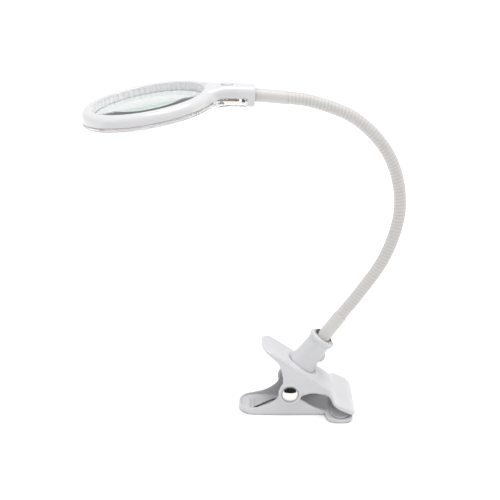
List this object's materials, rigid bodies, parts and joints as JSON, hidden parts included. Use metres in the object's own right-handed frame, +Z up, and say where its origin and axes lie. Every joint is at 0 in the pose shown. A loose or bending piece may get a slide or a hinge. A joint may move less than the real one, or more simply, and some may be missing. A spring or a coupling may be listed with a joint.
{
  "type": "clip-on magnifying lamp",
  "caption": "Bench magnifying lamp: a spring clamp carries a bendable gooseneck arm and a tilted ring head with a round lens, LEDs behind a clear cover, and a push switch.",
  "frame": {"origin": "bottom centre of the bounding box, level with the flat underside of the lower clamp lever", "axes": "+X from the ring head towards the clamp and the bow of the arm, +Y across the clamp to its rear, +Z up"},
  "size_m": [0.252, 0.1048, 0.2783],
  "materials": {
    "gloss_white": "bright white moulded plastic, high gloss",
    "clamp_white": "cool white moulded plastic, semi-gloss",
    "arm_coat": "warm white paint over a wound steel gooseneck, satin",
    "chrome": "polished",
    "steel": "bright zinc-plated",
    "dark_steel": "blackened spring steel",
    "grip_rubber": "soft grey grip pad, matt",
    "clear_plastic": "clear moulded plastic, polished",
    "lens_clear": "clear optical acrylic, polished, faintly green through its edge",
    "board": "bare brown circuit board",
    "led": "pale yellow phosphor in a white package",
    "black_plastic": "satin black moulding",
    "lead_jacket": "dark flexible lead jacket"
  },
  "bodies": {
    "lower_clamp": {"lower_lever": "clamp_white", "lower_grip_pad": "grip_rubber", "lower_pad_rivet": "steel", "pivot_pin": "steel", "pivot_cap_front": "chrome", "pivot_cap_rear": "chrome", "torsion_spring": "steel"},
    "upper_clamp": {"upper_lever": "clamp_white", "upper_grip_pad": "grip_rubber", "upper_pad_rivet": "steel", "arm_post": "clamp_white", "dc_inlet": "black_plastic", "post_screw_front": "steel", "post_screw_rear": "steel", "retaining_clip": "dark_steel", "lower_sleeve": "arm_coat", "gooseneck_link_1": "arm_coat", "arm_lead_1": "lead_jacket"},
    "arm_2": {"gooseneck_link_2": "arm_coat", "arm_lead_2": "lead_jacket"},
    "arm_3": {"gooseneck_link_3": "arm_coat", "arm_lead_3": "lead_jacket"},
    "arm_4": {"gooseneck_link_4": "arm_coat", "arm_lead_4": "lead_jacket"},
    "arm_5": {"gooseneck_link_5": "arm_coat", "arm_lead_5": "lead_jacket"},
    "arm_6": {"gooseneck_link_6": "arm_coat", "arm_lead_6": "lead_jacket"},
    "head": {"gooseneck_link_7": "arm_coat", "arm_lead_7": "lead_jacket", "upper_sleeve": "arm_coat", "head_shell": "gloss_white", "led_cover": "clear_plastic", "lens": "lens_clear", "lens_bezel": "gloss_white", "led_board": "board", "led_01": "led", "led_02": "led", "led_03": "led", "led_04": "led", "led_05": "led", "led_06": "led", "led_07": "led", "led_08": "led", "led_09": "led", "led_10": "led", "led_11": "led", "led_12": "led", "led_13": "led", "led_14": "led", "led_15": "led", "led_16": "led", "led_17": "led", "led_18": "led", "switch_board": "board", "switch_body": "black_plastic", "neck_screw": "steel"},
    "button": {"switch_button": "gloss_white"}
  },
  "joints": [
    {"name": "clamp_hinge", "type": "hinge", "parent": "lower_clamp", "child": "upper_clamp", "pos_m": [0.0359, 0, 0.0207], "axis": [0, -1, 0], "range_deg": [0, 40], "stiffness_Nm_per_rad": 0.6, "springref_deg": -45.84, "deforming": ["torsion_spring"]},
    {"name": "arm_bend_1", "type": "hinge", "parent": "upper_clamp", "child": "arm_2", "pos_m": [0.09755, 0, 0.11305], "axis": [0, 1, 0], "range_deg": [-24, 24]},
    {"name": "arm_turn_1", "type": "hinge", "parent": "arm_2", "child": "arm_3", "pos_m": [0.11401, 0, 0.1438], "axis": [0.9396, 0, -0.3424], "range_deg": [-24, 24]},
    {"name": "arm_bend_2", "type": "hinge", "parent": "arm_3", "child": "arm_4", "pos_m": [0.1211, 0, 0.17789], "axis": [0, 1, 0], "range_deg": [-24, 24]},
    {"name": "arm_turn_2", "type": "hinge", "parent": "arm_4", "child": "arm_5", "pos_m": [0.11462, 0, 0.21207], "axis": [0.9287, 0, 0.3709], "range_deg": [-24, 24]},
    {"name": "arm_bend_3", "type": "hinge", "parent": "arm_5", "child": "arm_6", "pos_m": [0.0949, 0, 0.24065], "axis": [0, 1, 0], "range_deg": [-24, 24]},
    {"name": "arm_turn_3", "type": "hinge", "parent": "arm_6", "child": "head", "pos_m": [0.06522, 0, 0.2586], "axis": [0.3402, 0, 0.9404], "range_deg": [-24, 24]},
    {"name": "switch_press", "type": "slide", "parent": "head", "child": "button", "axis": [-0.0262, 0, -0.9997], "range_m": [0, 0.0012], "stiffness_N_per_m": 300, "springref_m": -0.001}
  ]
}
